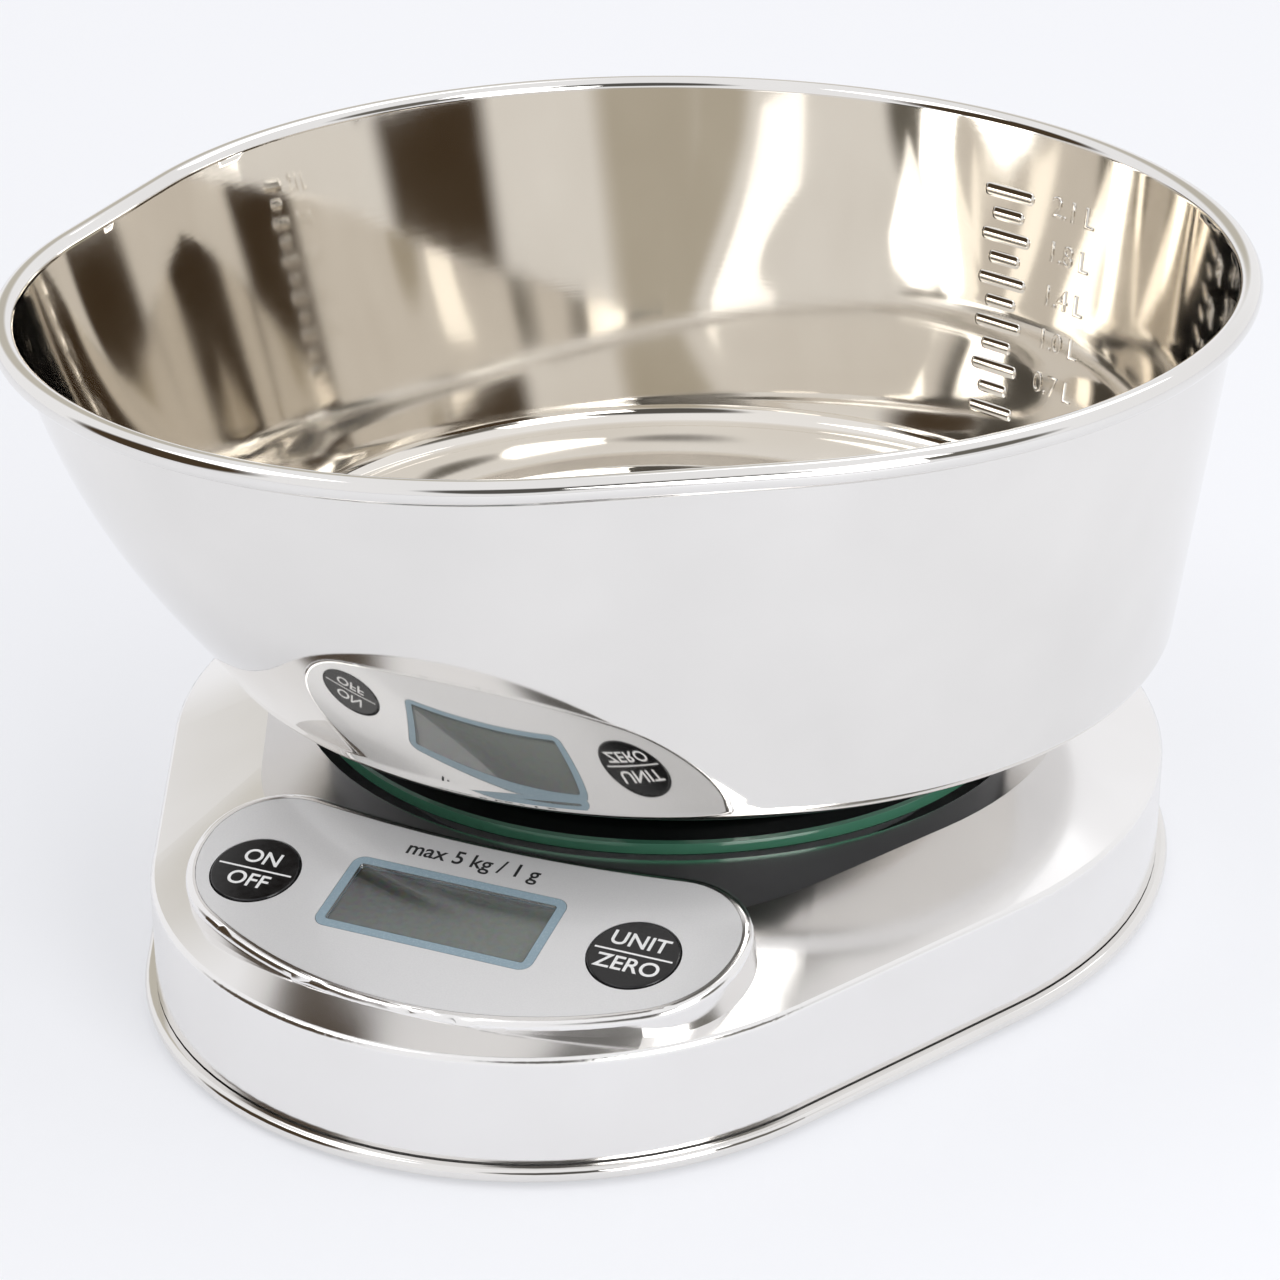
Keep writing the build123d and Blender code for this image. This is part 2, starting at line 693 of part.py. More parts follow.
# contact plates with bent leaf springs at both ends of the cells
contact_x = well_long / 2 - contact_thick / 2
leaf_x = well_long / 2 - contact_thick
leaf_back = contact_thick * 2
body_end = (battery_long - tip_long) / 2
with BuildPart() as battery_contacts:
    for side in (-1, 1):
        for end in (-1, 1):
            reach = leaf_x - body_end - fit
            if side == end:
                reach = reach - tip_long
            with Locations((end * contact_x, battery_y + side * battery_apart / 2, battery_z)):
                Box(contact_thick, contact_wide, contact_wide)
            with BuildSketch(Plane.XY.offset(battery_z - leaf_tall / 2)):
                with Locations(Location((end * leaf_x, battery_y + side * battery_apart / 2, 0), (0, 0, 90 - 90 * end))):
                    Polygon((0, -leaf_half), (0, leaf_half), (-reach, 0), align=None)
                    Polygon((0, leaf_back - leaf_half), (0, leaf_half - leaf_back), (leaf_back - reach, 0),
                            align=None, mode=Mode.SUBTRACT)
            extrude(amount=leaf_tall)
    for end in (-1, 1):
        with Locations((end * contact_x, battery_y, battery_z)):
            Box(contact_thick, battery_apart, contact_wide / 2)
battery_contacts.part.label = "battery_contacts"
export_step(battery_contacts.part.moved(home), "parts/battery_contacts.step")

# battery door: rounded hinge edge in front, finger recess at the back
with BuildPart() as battery_door:
    with Locations((0, battery_y, foot_height)):
        Box(door_long, door_wide, door_thick, align=low)
    hinge = battery_door.edges().filter_by(Axis.X).group_by(Axis.Y)[0]
    fillet(hinge, door_thick / 2 - fit)
    with Locations((0, battery_y + door_wide / 2, foot_height)):
        Cylinder(door_grip_radius, door_grip_deep, align=low, mode=Mode.SUBTRACT)
battery_door.part.label = "battery_door"
export_step(battery_door.part.moved(home), "parts/battery_door.step")

# bowl outline at a share of its height: a circle at the bottom, the lip growing towards the rim
def bowl_section(share, inset):
    big = bottom_radius + (bowl_taper - curl_neck) * share
    flare = (1 - (1 - share) ** flare_low) ** flare_hold
    reach = bottom_lip_reach + (lip_reach - bottom_lip_reach) * flare
    small = big - reach * lip_pinch / lip_reach
    back = Vector(bottom_back * (share - 1), 0, 0).rotate(Axis.Z, lip_turn)
    return egg(big - inset, small - inset, reach, lip_turn).moved(Location(back))


# space inside the bowl
with BuildPart() as bowl_space:
    for step in range(bowl_levels + 1):
        share = step / bowl_levels
        with BuildSketch(Plane.XY.offset(bowl_low + sheet + (bowl_tall - sheet) * share)):
            add(bowl_section(share, sheet))
    loft()
    fillet(bowl_space.faces().sort_by(Axis.Z)[0].edges(), bowl_round - sheet)
    with Locations((0, 0, bowl_low)):
        Cylinder(floor_radius + sheet, floor_step + sheet, align=low, mode=Mode.SUBTRACT)

# one curled section of the rim, open on the lower inner side
with BuildSketch() as curl:
    Circle(curl_radius)
    Circle(curl_radius - sheet, mode=Mode.SUBTRACT)
    with Locations(Location((0, 0, 0), (0, 0, curl_slit_turn))):
        Rectangle(2 * curl_radius, curl_slit, align=(Align.MIN, Align.CENTER), mode=Mode.SUBTRACT)

# deep-drawn bowl with a stepped floor and a curled rim
with BuildPart() as bowl:
    for step in range(bowl_levels + 1):
        share = step / bowl_levels
        with BuildSketch(Plane.XY.offset(bowl_low + bowl_tall * share)):
            add(bowl_section(share, 0))
    loft()
    fillet(bowl.faces().sort_by(Axis.Z)[0].edges(), bowl_round)
    add(bowl_space.part, mode=Mode.SUBTRACT)
    with Locations((0, 0, bowl_low)):
        Cylinder(floor_radius, floor_step, align=low, mode=Mode.SUBTRACT)
    rim = rim_egg(0).wire().moved(Location((0, 0, rim_level)))
    outward = (rim @ 0) - Vector(0, 0, rim_level)
    with BuildSketch(Plane(origin=rim @ 0, x_dir=outward, z_dir=outward.cross(Vector(0, 0, 1)))):
        add(curl.sketch)
    sweep(path=rim)
    # raised marks on the inside wall, long and short in turn
    for step in range(mark_count):
        level = bowl_low + mark_low + step * mark_pitch
        share = (level - bowl_low) / bowl_tall
        back = bottom_back * (share - 1) * cos(radians(mark_turn - lip_turn))
        reach = bottom_radius + (bowl_taper - curl_neck) * share + back - sheet / 2
        long = mark_long if step % 2 == 0 else mark_short
        with Locations(Location((0, 0, level), (0, 0, mark_turn))):
            with Locations((reach - (mark_proud + sheet / 2) / 2, 0, 0)):
                Box(mark_proud + sheet / 2, long, mark_tall)
bowl.part.label = "bowl"
export_step(bowl.part.moved(home), "parts/bowl.step")

# black soft base that carries the bowl on the glass
with BuildPart() as bowl_base:
    with Locations((0, 0, bowl_base_low)):
        Cone(bowl_base_radius - bowl_base_draft, bowl_base_radius, bowl_base_tall + floor_step, align=low)
    fillet(bowl_base.faces().sort_by(Axis.Z)[0].edges(), bowl_base_round)
    with Locations((0, 0, bowl_base_low)):
        hollow = bowl_base_tall + floor_step - bowl_base_web
        Cylinder(bowl_base_radius - bowl_base_wall, hollow, align=low, mode=Mode.SUBTRACT)
bowl_base.part.label = "bowl_base"
export_step(bowl_base.part.moved(home), "parts/bowl_base.step")
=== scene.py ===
import bpy
import math
from mathutils import Matrix, Vector


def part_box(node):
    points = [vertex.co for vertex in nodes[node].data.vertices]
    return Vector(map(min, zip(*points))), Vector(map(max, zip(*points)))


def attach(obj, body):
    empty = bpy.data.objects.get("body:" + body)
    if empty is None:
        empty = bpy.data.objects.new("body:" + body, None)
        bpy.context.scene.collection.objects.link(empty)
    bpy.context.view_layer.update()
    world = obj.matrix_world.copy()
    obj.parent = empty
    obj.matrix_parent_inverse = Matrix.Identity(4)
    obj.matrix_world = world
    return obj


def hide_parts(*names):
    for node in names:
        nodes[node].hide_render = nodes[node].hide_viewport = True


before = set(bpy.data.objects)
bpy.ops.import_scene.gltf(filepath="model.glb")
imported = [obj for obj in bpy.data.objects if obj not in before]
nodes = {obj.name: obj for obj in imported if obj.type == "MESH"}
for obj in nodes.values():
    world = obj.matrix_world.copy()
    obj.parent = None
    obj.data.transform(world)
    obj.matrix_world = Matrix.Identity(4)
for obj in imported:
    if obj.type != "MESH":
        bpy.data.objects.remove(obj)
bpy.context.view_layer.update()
mm = 0.001
axisY = 12.5  # the platform axis stands this far behind the origin, in mm
print("frame loaded:", len(nodes), "nodes")


# sRGB hex to the linear colour that shaders use
def toLinear(hexColour):
    parts = [int(hexColour[i:i + 2], 16) / 255 for i in (1, 3, 5)]
    linear = [c / 12.92 if c <= 0.04045 else ((c + 0.055) / 1.055) ** 2.4 for c in parts]
    return (*linear, 1.0)


# noise scale for a pattern of this size in mm
def scaleFor(size):
    return 1 / (size * mm)


# links are given as input name -> (source node, output name)
def join(tree, node, links):
    for name, (source, output) in links.items():
        tree.links.new(source.outputs[output], node.inputs[name])


# one node with its settings, socket values and links
def addNode(tree, kind, settings=None, values=None, links=None):
    node = tree.nodes.new(kind)
    for name, value in (settings or {}).items():
        setattr(node, name, value)
    for name, value in (values or {}).items():
        node.inputs[name].default_value = value
    join(tree, node, links or {})
    return node


def newMaterial(name, shaderValues):
    material = bpy.data.materials.new(name)
    material.use_nodes = True
    tree = material.node_tree
    shader = tree.nodes["Principled BSDF"]
    for key, value in shaderValues.items():
        shader.inputs[key].default_value = value
    return material, tree, shader


def dress(obj, material):
    obj.data.materials.clear()
    obj.data.materials.append(material)


# a new piece moves with a body
def carry(obj, body):
    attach(obj, body)


def addObject(name, data):
    obj = bpy.data.objects.new(name, data)
    bpy.context.scene.collection.objects.link(obj)
    return obj


# a closed mesh from rows of points in mm: each row is a loop of the same length, both ends are capped
def loopMesh(name, rows, sharpDegrees=30):
    count = len(rows[0])
    last = (len(rows) - 1) * count
    faces = []
    for start in range(0, last, count):
        for k in range(count):
            n = (k + 1) % count
            faces.append((start + k, start + n, start + count + n, start + count + k))
    faces.append(tuple(reversed(range(count))))
    faces.append(tuple(range(last, last + count)))
    mesh = bpy.data.meshes.new(name)
    mesh.from_pydata([(x * mm, (y + axisY) * mm, z * mm) for row in rows for x, y, z in row], [], faces)
    mesh.validate()
    mesh.polygons.foreach_set("use_smooth", [True] * len(mesh.polygons))
    mesh.set_sharp_from_angle(angle=math.radians(sharpDegrees))
    return addObject(name, mesh)


def direction(angle):
    return Vector((math.cos(angle), math.sin(angle)))


# egg outline of a big and a small circle: points and outward normals, in four runs that keep their counts
def eggPoints(big, small, reach, turn, bigSteps=150, smallSteps=80, lineSteps=26):
    lean = math.acos((big - small) / reach)
    axis = math.radians(turn)
    far = direction(axis) * reach
    points = []
    normals = []

    def arc(centre, radius, first, sweep, steps):
        for k in range(steps):
            n = direction(first + sweep * k / steps)
            points.append(centre + n * radius)
            normals.append(n)

    def line(n, start, end):
        for k in range(lineSteps):
            points.append(start.lerp(end, k / lineSteps))
            normals.append(n)

    arc(Vector((0, 0)), big, axis + lean, 2 * math.pi - 2 * lean, bigSteps)
    n = direction(axis - lean)
    line(n, n * big, far + n * small)
    arc(far, small, axis - lean, 2 * lean, smallSteps)
    n = direction(axis + lean)
    line(n, far + n * small, n * big)
    return points, normals


# buffed stainless steel: clear reflections, softened a little by haze patches and fine lines round the part
buffing = {"lineLong": 111.1, "cloud": 30.3, "lineDeep": 0.2}


# real buffing lines lie about 0.4 mm apart; lineWide, in mm, draws them coarser so that they show
def buffedSteel(name, dark, light, smooth, hazy, lineWide, lineStrength):
    material, tree, shader = newMaterial(name, {"Metallic": 1.0})
    coord = addNode(tree, "ShaderNodeTexCoord")
    along = scaleFor(buffing["lineLong"])
    stretch = addNode(tree, "ShaderNodeMapping", values={"Scale": (along, along, scaleFor(lineWide))},
                      links={"Vector": (coord, "Object")})
    lines = addNode(tree, "ShaderNodeTexNoise", values={"Scale": 1.0, "Detail": 3.0},
                    links={"Vector": (stretch, "Vector")})
    # cloudy patches left by the buffing wheel
    cloud = addNode(tree, "ShaderNodeTexNoise", values={"Scale": scaleFor(buffing["cloud"]), "Detail": 2.0},
                    links={"Vector": (coord, "Object")})
    rough = addNode(tree, "ShaderNodeMapRange",
                    values={"From Min": 0.35, "From Max": 0.7, "To Min": smooth, "To Max": hazy},
                    links={"Value": (cloud, "Fac")})
    tone = addNode(tree, "ShaderNodeMix", {"data_type": "RGBA"},
                   values={"A": toLinear(dark), "B": toLinear(light)}, links={"Factor": (cloud, "Fac")})
    bump = addNode(tree, "ShaderNodeBump",
                   values={"Strength": lineStrength, "Distance": buffing["lineDeep"] * mm},
                   links={"Height": (lines, "Fac")})
    join(tree, shader, {"Roughness": (rough, "Result"), "Base Color": (tone, "Result"),
                        "Normal": (bump, "Normal")})
    return material


# one plain stuff with a fine surface grain: uneven shine up close, slow changes of tone over the part
grainLook = {"toneWide": 16.67, "darker": 0.92, "lighter": 1.06, "roughSpread": 0.06, "bump": 0.08,
             "deep": 0.1}


# the grain is a spark-eroded mould's 0.3 mm unless given in mm; some pieces draw it coarser so that it shows
def grainedFinish(name, colour, roughness=0.5, grain=0.303, metal=False):
    look = grainLook
    material, tree, shader = newMaterial(name, {"Metallic": 1.0} if metal else {"IOR": 1.53})
    coord = addNode(tree, "ShaderNodeTexCoord")
    noise = addNode(tree, "ShaderNodeTexNoise", values={"Scale": scaleFor(grain), "Detail": 2.0},
                    links={"Vector": (coord, "Object")})
    wide = addNode(tree, "ShaderNodeTexNoise", values={"Scale": scaleFor(look["toneWide"]), "Detail": 2.0},
                   links={"Vector": (coord, "Object")})
    base = toLinear(colour)[:3]
    darker = (*[c * look["darker"] for c in base], 1.0)
    lighter = (*[min(1.0, c * look["lighter"]) for c in base], 1.0)
    tone = addNode(tree, "ShaderNodeMix", {"data_type": "RGBA"}, values={"A": darker, "B": lighter},
                   links={"Factor": (wide, "Fac")})
    rough = addNode(tree, "ShaderNodeMapRange",
                    values={"From Min": 0.3, "From Max": 0.7, "To Min": roughness - look["roughSpread"],
                            "To Max": roughness + look["roughSpread"]}, links={"Value": (noise, "Fac")})
    bump = addNode(tree, "ShaderNodeBump", values={"Strength": look["bump"], "Distance": look["deep"] * mm},
                   links={"Height": (noise, "Fac")})
    join(tree, shader, {"Base Color": (tone, "Result"), "Roughness": (rough, "Result"),
                        "Normal": (bump, "Normal")})
    return material


# float glass: nearly black from above over its dark back, green where light runs out of the edge
def floatGlass():
    material, tree, shader = newMaterial("floatGlassGreenEdge",
                                         {"Roughness": 0.03, "IOR": 1.52, "Transmission Weight": 0.35})
    geometry = addNode(tree, "ShaderNodeNewGeometry")
    split = addNode(tree, "ShaderNodeSeparateXYZ", links={"Vector": (geometry, "Normal")})
    upright = addNode(tree, "ShaderNodeMath", {"operation": "ABSOLUTE"}, links={0: (split, "Z")})
    face = addNode(tree, "ShaderNodeMapRange", values={"From Min": 0.55, "From Max": 0.9},
                   links={"Value": (upright, "Value")})
    tone = addNode(tree, "ShaderNodeMix", {"data_type": "RGBA"},
                   values={"A": toLinear("#5a9a7d"), "B": toLinear("#0d1512")},
                   links={"Factor": (face, "Result")})
    join(tree, shader, {"Base Color": (tone, "Result")})
    return material


# clear cast acrylic over the display: thin, polished, almost no tint, the faintest haze in 5 mm patches
def clearAcrylic():
    material, tree, shader = newMaterial(
        "castAcrylicClear", {"Base Color": toLinear("#f4f7f8"), "IOR": 1.49, "Transmission Weight": 1.0})
    coord = addNode(tree, "ShaderNodeTexCoord")
    haze = addNode(tree, "ShaderNodeTexNoise", values={"Scale": scaleFor(5.0)},
                   links={"Vector": (coord, "Object")})
    rough = addNode(tree, "ShaderNodeMapRange", values={"To Min": 0.02, "To Max": 0.06},
                    links={"Value": (haze, "Fac")})
    join(tree, shader, {"Roughness": (rough, "Result")})
    return material


# liquid crystal cell: grey-green polariser film with painted shade that darkens it towards its far left corner,
# faint 1.1 mm mottling
def lcdFilm():
    material, tree, shader = newMaterial("polariserFilmPaintedShade", {"IOR": 1.5})
    coord = addNode(tree, "ShaderNodeTexCoord")
    mottle = addNode(tree, "ShaderNodeTexNoise", values={"Scale": scaleFor(1.111), "Detail": 2.0},
                     links={"Vector": (coord, "Object")})
    # a slope that rises by one from the far left corner to the near right one, for the painted shade
    low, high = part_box("lcd_cell")
    spread = Vector((1 / (high[0] - low[0]), -1 / (high[1] - low[1]), 0)) / 2
    start = low[0] * spread.x + high[1] * spread.y
    fade = 0.95
    along = addNode(tree, "ShaderNodeVectorMath", {"operation": "DOT_PRODUCT"}, values={1: spread},
                    links={0: (coord, "Object")})
    across = addNode(tree, "ShaderNodeMapRange", {"interpolation_type": "SMOOTHSTEP"},
                     values={"From Min": start, "From Max": start + fade}, links={"Value": (along, "Value")})
    # painted shade: near black in the far left corner, the film's own grey-green at the near right
    shade = addNode(tree, "ShaderNodeMix", {"data_type": "RGBA"},
                    values={"A": toLinear("#2c2d29"), "B": toLinear("#8c9287")},
                    links={"Factor": (across, "Result")})
    tone = addNode(tree, "ShaderNodeMix", {"data_type": "RGBA"}, values={"Factor": 0.12},
                   links={"A": (shade, "Result"), "B": (mottle, "Color")})
    rough = addNode(tree, "ShaderNodeMapRange", values={"To Min": 0.15, "To Max": 0.25},
                    links={"Value": (mottle, "Fac")})
    join(tree, shader, {"Base Color": (tone, "Result"), "Roughness": (rough, "Result")})
    return material


# silver screen print under a clear polycarbonate film: a satin metal tone with fine flake, glossy on top
def printedFilm():
    material, tree, shader = newMaterial(
        "screenPrintedPolycarbonateSilver",
        {"Metallic": 0.25, "Coat Weight": 0.7, "Coat Roughness": 0.03, "IOR": 1.58})
    coord = addNode(tree, "ShaderNodeTexCoord")
    # flakes are about 0.1 mm, drawn at 0.25 mm so that they show
    flake = addNode(tree, "ShaderNodeTexNoise", values={"Scale": scaleFor(0.25), "Detail": 1.0},
                    links={"Vector": (coord, "Object")})
    tone = addNode(tree, "ShaderNodeMix", {"data_type": "RGBA"},
                   values={"A": toLinear("#dadadb"), "B": toLinear("#e6e6e6")},
                   links={"Factor": (flake, "Fac")})
    rough = addNode(tree, "ShaderNodeMapRange", values={"To Min": 0.30, "To Max": 0.38},
                    links={"Value": (flake, "Fac")})
    join(tree, shader, {"Base Color": (tone, "Result"), "Roughness": (rough, "Result")})
    return material


# bowl and bead mirror the room, the inside is hazier and carries a painted warm reflection tint, the housing
# blurs what it mirrors
bowlSteel = buffedSteel("stainlessSteelMirrorBuffed", "#e2e0dd", "#eeece9", 0.03, 0.06, 16.67, 0.003)
# painted reflection: the inside steel is tinted warmer than the outside to stand in for the warm room it mirrors
innerSteel = buffedSteel("stainlessSteelSatinInsidePaintedWarmth", "#e5e0d8", "#eeeae3", 0.04, 0.09, 1.111, 0.010)
housingSteel = buffedSteel("stainlessSteelFineSatin", "#ebe9e7", "#f4f3f2", 0.13, 0.19, 16.67, 0.002)
screwSteel = grainedFinish("zincPlatedSteel", "#b4b7ba", 0.3, 1.111, metal=True)  # cool grey, dull shine
milledAluminium = grainedFinish("milledAluminium", "#c9cbcd", 0.35, 0.6667, metal=True)  # pale, broken shine
contactNickel = grainedFinish("nickelPlatedSteel", "#c8c4ba", 0.25, 1.25, metal=True)  # warm bright metal
greyAbs = grainedFinish("mouldedAbsGrey", "#c4c6c8")  # matt light grey
blackSilicone = grainedFinish("mouldedSiliconeBlack", "#2a2a2c", 0.45, 0.8333)  # soft satin black
blackRubber = grainedFinish("mouldedRubberBlack", "#1c1c1c", 0.7, 0.8333)  # matt black
foamPad = grainedFinish("foamTapeWhite", "#dedcd6", 0.85, 0.625)  # chalky, no shine
boardGreen = grainedFinish("solderMaskGreen", "#1d5a35", 0.35, 1.111)  # half gloss lacquer
switchBlack = grainedFinish("nylonBlack", "#222224")  # satin black
jacketDark = grainedFinish("printedFoilDark", "#3a3c42", 0.25, 2.0)  # glossy dark foil
keyBlack = grainedFinish("polishedAbsBlack", "#0c0c0e", 0.14, 1.4286)  # deep gloss black
frameBlue = grainedFinish("mouldedAbsPaleBlue", "#90a5b1", 0.25)  # greyish blue, half gloss
inkBlack = grainedFinish("screenInkBlack", "#1a1a1c")  # flat dark print
inkWhite = grainedFinish("screenInkWhite", "#f0f0f0")  # flat white print
panelSilver = printedFilm()
glassGreen = floatGlass()
windowClear = clearAcrylic()
lcdGreyGreen = lcdFilm()
finishes = {
    "housing_skin": housingSteel, "foot_bead": bowlSteel, "bowl": bowlSteel,
    "inner_frame": greyAbs, "base_plate": greyAbs, "battery_door": greyAbs, "platform_carrier": greyAbs,
    "rubber_feet": blackRubber, "contact_strip": blackRubber,
    "bowl_base": blackSilicone, "glass_pads": foamPad,
    "housing_screws": screwSteel, "cell_screws": screwSteel, "carrier_screws": screwSteel,
    "board_screws": screwSteel, "fixed_spacer": screwSteel, "loaded_spacer": screwSteel,
    "load_cell": milledAluminium, "platform_glass": glassGreen, "control_panel": panelSilver,
    "lcd_frame": frameBlue, "lcd_window": windowClear, "lcd_cell": lcdGreyGreen,
    "circuit_board": boardGreen, "push_switches": switchBlack,
    "batteries": jacketDark, "battery_contacts": contactNickel,
    "left_button": keyBlack, "right_button": keyBlack,
}
for nodeName, node in nodes.items():
    dress(node, finishes[nodeName])
print("materials on every node")

# bowl: fine mesh for clean reflections, as its solid but with a straighter lip and a smaller bottom round
bowlShape = {"radius": 112.9, "lipPinch": 21.4, "lipReach": 43.6, "lipTurn": 242.7, "taper": 15.2,
             "back": 6.7, "bottomReach": 0.6, "flareLow": 2.4, "flareHold": 1.3, "low": 51.0, "tall": 76.7,
             "round": 5.0, "sheet": 0.8, "curl": 2.3, "curlSweep": 305, "floorRadius": 71.0, "floorStep": 1.5,
             "levels": 120, "roundSteps": 16, "wallSteps": 60, "curlSteps": 36, "sharp": 40}


# the big circle's radius and the shift away from the lip, at a share of the height
def bowlCircle(share):
    s = bowlShape
    neck = s["curl"] - s["sheet"]
    radius = s["radius"] - s["taper"] + (s["taper"] - neck) * share
    return radius, direction(math.radians(s["lipTurn"])) * s["back"] * (share - 1)


def buildBowl():
    s = bowlShape
    rimLevel = s["low"] + s["tall"]
    levels = s["levels"]

    # outline at a share of the height: a circle at the bottom, the lip growing towards the rim
    def outline(share):
        big, shift = bowlCircle(share)
        flare = (1 - (1 - share) ** s["flareLow"]) ** s["flareHold"]
        reach = s["bottomReach"] + (s["lipReach"] - s["bottomReach"]) * flare
        points, normals = eggPoints(big, big - reach * s["lipPinch"] / s["lipReach"], reach, s["lipTurn"])
        return [p + shift for p in points], normals

    outlines = [outline(i / levels)[0] for i in range(levels + 1)]
    normals = outline(1.0)[1]

    # point k of the wall at any share, between the two nearest outlines
    def wall(k, share):
        at = min(share * levels, levels - 1e-6)
        i = int(at)
        return outlines[i][k].lerp(outlines[i + 1][k], at - i)

    # one side of the sheet: the bottom round, then the wall up to the rim
    def side(inset, rounding):
        floorLevel = s["low"] + inset
        lift = rimLevel - floorLevel
        footShare = 0.1  # the wall's lean is taken over this share of the height
        rows = [[] for _ in range(s["roundSteps"] + 1 + s["wallSteps"])]
        for k, n in enumerate(normals):
            lean = math.atan2((wall(k, footShare) - wall(k, 0.0)).dot(n), lift * footShare)
            back = rounding / math.tan((math.pi / 2 + lean) / 2)
            for i in range(s["roundSteps"] + 1):
                a = (math.pi / 2 - lean) * i / s["roundSteps"]
                at = wall(k, 0.0) + n * (rounding * math.sin(a) - inset - back)
                rows[i].append((at.x, at.y, floorLevel + rounding * (1 - math.cos(a))))
            start = rounding * (1 - math.sin(lean)) / lift
            for i in range(1, s["wallSteps"] + 1):
                share = start + (1 - start) * i / s["wallSteps"]
                at = wall(k, share) - n * inset
                rows[s["roundSteps"] + i].append((at.x, at.y, floorLevel + lift * share))
        return rows

    outer = side(0.0, s["round"])
    inner = side(s["sheet"], s["round"] - s["sheet"])

    # the rim curls over from the inside to the outside
    rim, rimNormals = eggPoints(s["radius"], s["radius"] - s["lipPinch"], s["lipReach"], s["lipTurn"])
    curl = []
    for i in range(s["curlSteps"] + 1):
        a = math.radians(180 - s["curlSweep"] * i / s["curlSteps"])
        out = s["curl"] * math.cos(a)
        level = rimLevel + s["curl"] * math.sin(a)
        curl.append([(p.x + n.x * out, p.y + n.y * out, level) for p, n in zip(rim, rimNormals)])

    # a round loop on the floor, its points in the same directions as those of another loop
    def ring(radius, z, like):
        return [(x / math.hypot(x, y) * radius, y / math.hypot(x, y) * radius, z) for x, y, _ in like]

    edge = s["floorRadius"]
    step = s["floorStep"]
    sheet = s["sheet"]
    top = s["low"] + sheet
    hub = 0.02  # the innermost loop's share of the floor
    under = [ring(edge * share, s["low"] + step, outer[0]) for share in (hub, 0.5, 1.0)]
    under.append(ring(edge, s["low"], outer[0]))
    # the floor's step seen from inside, its corners eased: out from its edge, up from the bottom
    stepLine = [(sheet + 0.6, 0.0), (sheet, 0.4), (sheet - 0.2, step - 0.4), (-0.3, step)]
    over = [ring(edge + out, top + up, inner[0]) for out, up in stepLine]
    over += [ring(edge * share, top + step, inner[0]) for share in (0.9, 0.5, hub)]
    outside = under + outer + curl[::-1]
    shell = loopMesh("bowlShell", outside + inner[::-1] + over, s["sharp"])
    firstInside = (len(outside) - 1) * len(outside[0])
    return shell, firstInside


bowlPiece, firstInside = buildBowl()
bowlPiece.data.materials.append(bowlSteel)
bowlPiece.data.materials.append(innerSteel)
for face in bowlPiece.data.polygons:
    face.material_index = 1 if face.vertices[0] >= firstInside else 0
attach(bowlPiece, "bowl_set")
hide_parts("bowl")
print("bowl built")

# glass plate: a finely turned disc, so that its ground edge stays smooth
glassLow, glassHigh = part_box("platform_glass")
glassShape = {"radius": 73.2, "low": glassLow[2] / mm, "high": glassHigh[2] / mm, "edge": 0.5, "hub": 0.5,
              "steps": 240}


def buildGlass():
    g = glassShape
    inset = g["radius"] - g["edge"]
    profile = [(g["hub"], g["low"]), (inset, g["low"]), (g["radius"], g["low"] + g["edge"]),
               (g["radius"], g["high"] - g["edge"]), (inset, g["high"]), (g["hub"], g["high"])]
    ways = [direction(2 * math.pi * k / g["steps"]) for k in range(g["steps"])]
    rows = [[(radius * way.x, radius * way.y, z) for way in ways] for radius, z in profile]
    return loopMesh("glassPlate", rows)


glassPiece = buildGlass()
dress(glassPiece, glassGreen)
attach(glassPiece, "platform")
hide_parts("platform_glass")
print("glass built")


# words and numbers, printed or raised: place(x, y, z) carries a flat letter's points, in mm, to where they go
def letters(name, words, size, place, thick, rounding, ink):
    boldness = 0.012
    curve = bpy.data.curves.new(name, "FONT")
    curve.body = words
    curve.size = size
    curve.align_x = "CENTER"
    curve.align_y = "CENTER"
    curve.extrude = thick
    curve.bevel_depth = rounding
    curve.bevel_resolution = 2
    curve.offset = size * boldness - rounding
    holder = addObject(name + "Curve", curve)
    bpy.context.view_layer.update()
    mesh = bpy.data.meshes.new_from_object(holder.evaluated_get(bpy.context.evaluated_depsgraph_get()))
    bpy.data.objects.remove(holder)
    for vert in mesh.vertices:
        at = place(*vert.co)
        vert.co = (at.x * mm, (at.y + axisY) * mm, at.z * mm)
    obj = addObject(name, mesh)
    dress(obj, ink)
    return obj


# print on the sloping pod: u to the right, v up the slope, lift off the panel
podShape = {"origin": Vector((0, -104.9, 34.5)), "slope": math.radians(14.1), "ink": 0.03}
keyShape = {"top": 0.3, "wordSize": 4.9, "wordShift": 3.1, "barLong": 15.2, "barWide": 0.4,
            "words": {"left_key": (-38.7, "ON", "OFF"), "right_key": (38.7, "UNIT", "ZERO")}}
ratingShape = {"words": "max 5 kg / 1 g", "size": 4.8, "v": 14.2}


def onPod(u, v, lift):
    rise, run = math.sin(podShape["slope"]), math.cos(podShape["slope"])
    return podShape["origin"] + Vector((u, v * run - lift * rise, v * rise + lift * run))


# the thin line between a button's two words
def keyBar(name, u):
    x, y = keyShape["barLong"] / 2, keyShape["barWide"] / 2
    corners = [(-x, -y), (x, -y), (x, y), (-x, y)]
    levels = [keyShape["top"] - podShape["ink"], keyShape["top"] + podShape["ink"]]
    obj = loopMesh(name, [[tuple(onPod(u + dx, dy, level)) for dx, dy in corners] for level in levels])
    dress(obj, inkWhite)
    return obj


for keyBody, (keyAt, upper, lower) in keyShape["words"].items():
    for words, shift in ((upper, keyShape["wordShift"]), (lower, -keyShape["wordShift"])):
        word = letters(keyBody + "_" + words, words, keyShape["wordSize"],
                       lambda x, y, z: onPod(keyAt + x, shift + y, keyShape["top"] + z),
                       podShape["ink"], 0.0, inkWhite)
        carry(word, keyBody)
    carry(keyBar(keyBody + "_bar", keyAt), keyBody)
rating = letters("ratingPrint", ratingShape["words"], ratingShape["size"],
                 lambda x, y, z: onPod(x, ratingShape["v"] + y, z), podShape["ink"], 0.0, inkBlack)
carry(rating, "base")

